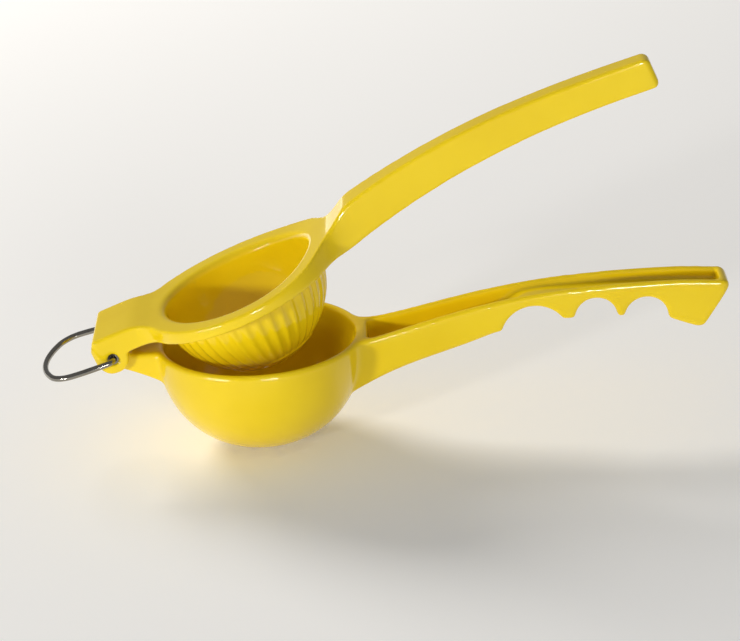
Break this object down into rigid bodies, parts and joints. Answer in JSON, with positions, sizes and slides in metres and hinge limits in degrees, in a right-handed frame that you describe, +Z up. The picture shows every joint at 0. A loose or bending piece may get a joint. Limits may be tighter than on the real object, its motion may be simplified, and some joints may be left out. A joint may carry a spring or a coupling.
{
  "type": "hinged citrus squeezer",
  "caption": "Two-lever hand press for citrus: a cup on the upper lever presses half a fruit into a strainer bowl on the lower lever; steel hanging loop at the hinge.",
  "frame": {"origin": "centre of the small flat under the strainer bowl", "axes": "+X from the bowl along the handles, +Y along the hinge axis, +Z up out of the bowl"},
  "size_m": [0.2304, 0.07, 0.1253],
  "materials": {
    "enamel_lower": "gloss",
    "enamel_upper": "gloss",
    "steel_pin": "polished",
    "steel_wire": "polished"
  },
  "bodies": {
    "lower_lever": {"lower_lever": "enamel_lower"},
    "upper_lever": {"upper_lever": "enamel_upper", "hinge_pin": "steel_pin"},
    "hanging_ring": {"hanging_ring": "steel_wire"}
  },
  "joints": [
    {"name": "lever_hinge", "type": "hinge", "parent": "lower_lever", "child": "upper_lever", "pos_m": [-0.048, 0, 0.037], "axis": [0, -1, 0], "range_deg": [-20.59, 94.4]},
    {"name": "ring_hinge", "type": "hinge", "parent": "lower_lever", "child": "hanging_ring", "pos_m": [-0.048, 0, 0.037], "axis": [0, -1, 0], "range_deg": [-29, 94]}
  ]
}
